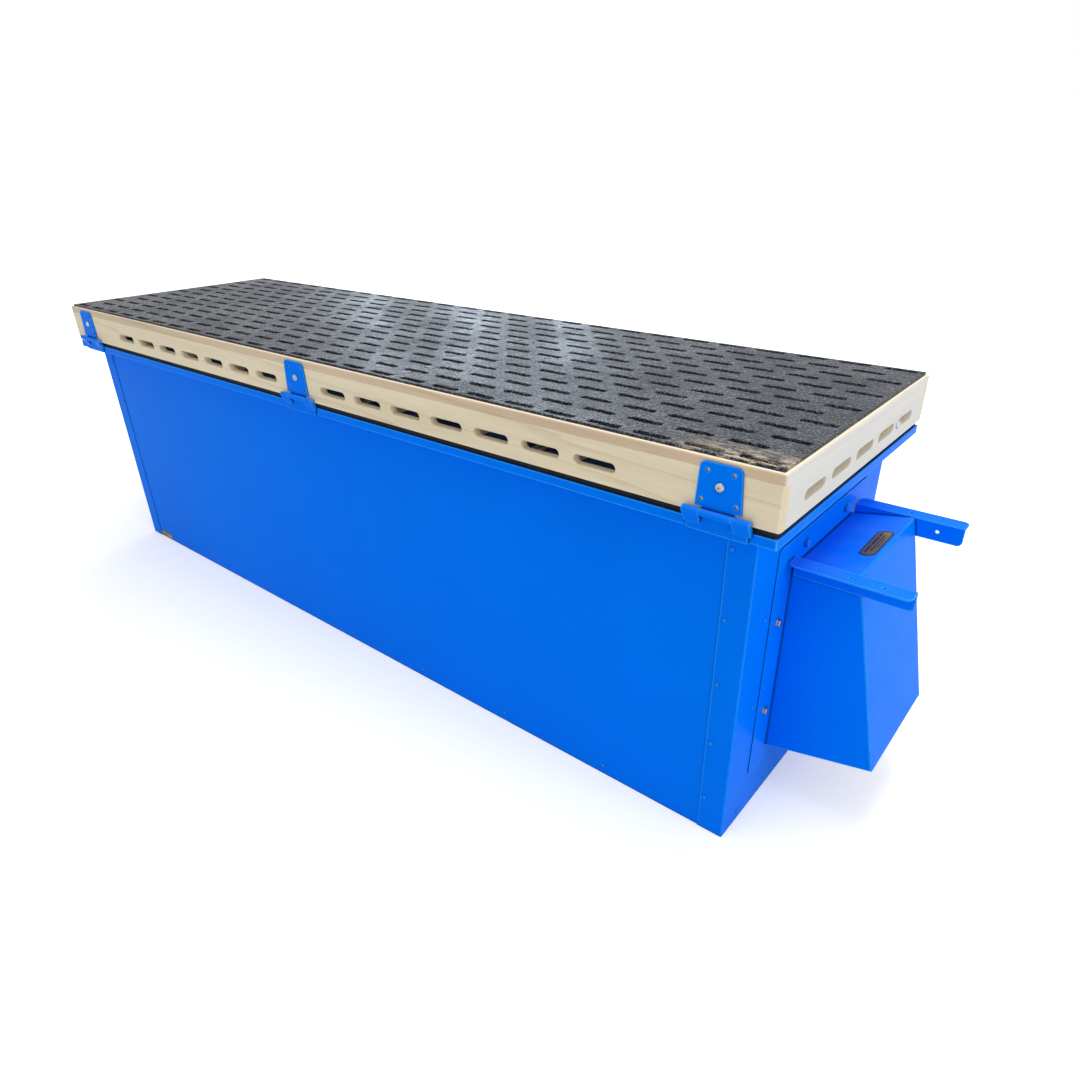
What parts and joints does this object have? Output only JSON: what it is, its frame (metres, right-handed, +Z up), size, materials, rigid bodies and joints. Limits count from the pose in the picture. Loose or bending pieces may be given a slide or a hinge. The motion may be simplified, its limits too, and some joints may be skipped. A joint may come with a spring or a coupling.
{
  "type": "downdraft workbench",
  "caption": "Long downdraft workbench: a slotted maple lid with a rubber mat, hinged on a blue steel cabinet with a downward discharge hood and two arm brackets on one end.",
  "frame": {"origin": "centre of the cabinet's base, on the floor", "axes": "+X along the bench towards the discharge hood, -Y towards the hinge side, +Z up"},
  "size_m": [2.6082, 0.7246, 0.814],
  "materials": {
    "blue_paint": "gloss",
    "maple": "satin",
    "mat_rubber": "pebbled, semi-gloss",
    "gasket_foam": "matte",
    "zinc_steel": "satin",
    "bronze_plate": "satin",
    "galvanised": "satin",
    "filter_cloth": "matte",
    "motor_grey": "satin",
    "fan_aluminium": "satin",
    "black_nylon": "matte"
  },
  "bodies": {
    "cabinet": {"bottom_pan": "blue_paint", "pan_flange_front": "blue_paint", "pan_flange_back": "blue_paint", "pan_flange_left": "blue_paint", "pan_flange_right": "blue_paint", "front_panel": "blue_paint", "back_panel": "blue_paint", "left_end_panel": "blue_paint", "right_end_panel": "blue_paint", "rim_front": "blue_paint", "rim_right": "blue_paint", "rim_back": "blue_paint", "rim_left": "blue_paint", "rim_gasket": "gasket_foam", "panel_screws": "blue_paint", "hood_flange": "blue_paint", "hood_cover": "blue_paint", "hood_side_front": "blue_paint", "hood_side_back": "blue_paint", "arm_front": "blue_paint", "arm_back": "blue_paint", "hood_bolts": "zinc_steel", "hood_plate": "bronze_plate", "rating_plate": "bronze_plate", "filter_rack": "galvanised", "filter_tees": "galvanised", "filter_hanger_front": "galvanised", "filter_hanger_back": "galvanised", "fan_bulkhead": "galvanised", "fan_roof": "galvanised", "inlet_cone": "galvanised", "motor": "motor_grey", "motor_base": "galvanised", "cable_gland": "black_nylon", "hinge_pins": "zinc_steel", "hinge_lower_left": "blue_paint", "hinge_lower_middle": "blue_paint", "hinge_lower_right": "blue_paint", "filter_frame_1": "galvanised", "filter_frame_2": "galvanised", "filter_frame_3": "galvanised", "filter_frame_4": "galvanised", "filter_media_1": "filter_cloth", "filter_media_2": "filter_cloth", "filter_media_3": "filter_cloth", "filter_media_4": "filter_cloth"},
    "lid": {"deck": "maple", "rubber_mat": "mat_rubber", "rail_front": "maple", "rail_back": "maple", "rail_left": "maple", "rail_right": "maple", "deck_bearers": "maple", "dome_bolt": "zinc_steel", "hinge_screws": "zinc_steel", "hinge_upper_left": "blue_paint", "hinge_upper_middle": "blue_paint", "hinge_upper_right": "blue_paint"},
    "fan_rotor": {"impeller": "fan_aluminium", "motor_shaft": "zinc_steel"}
  },
  "joints": [
    {"name": "lid_hinge", "type": "hinge", "parent": "cabinet", "child": "lid", "pos_m": [0, -0.3627, 0.717], "axis": [1, 0, 0], "range_deg": [0, 90]},
    {"name": "fan_spin", "type": "hinge", "parent": "cabinet", "child": "fan_rotor", "pos_m": [0.819, 0, 0.345], "axis": [1, 0, 0], "continuous": true}
  ]
}
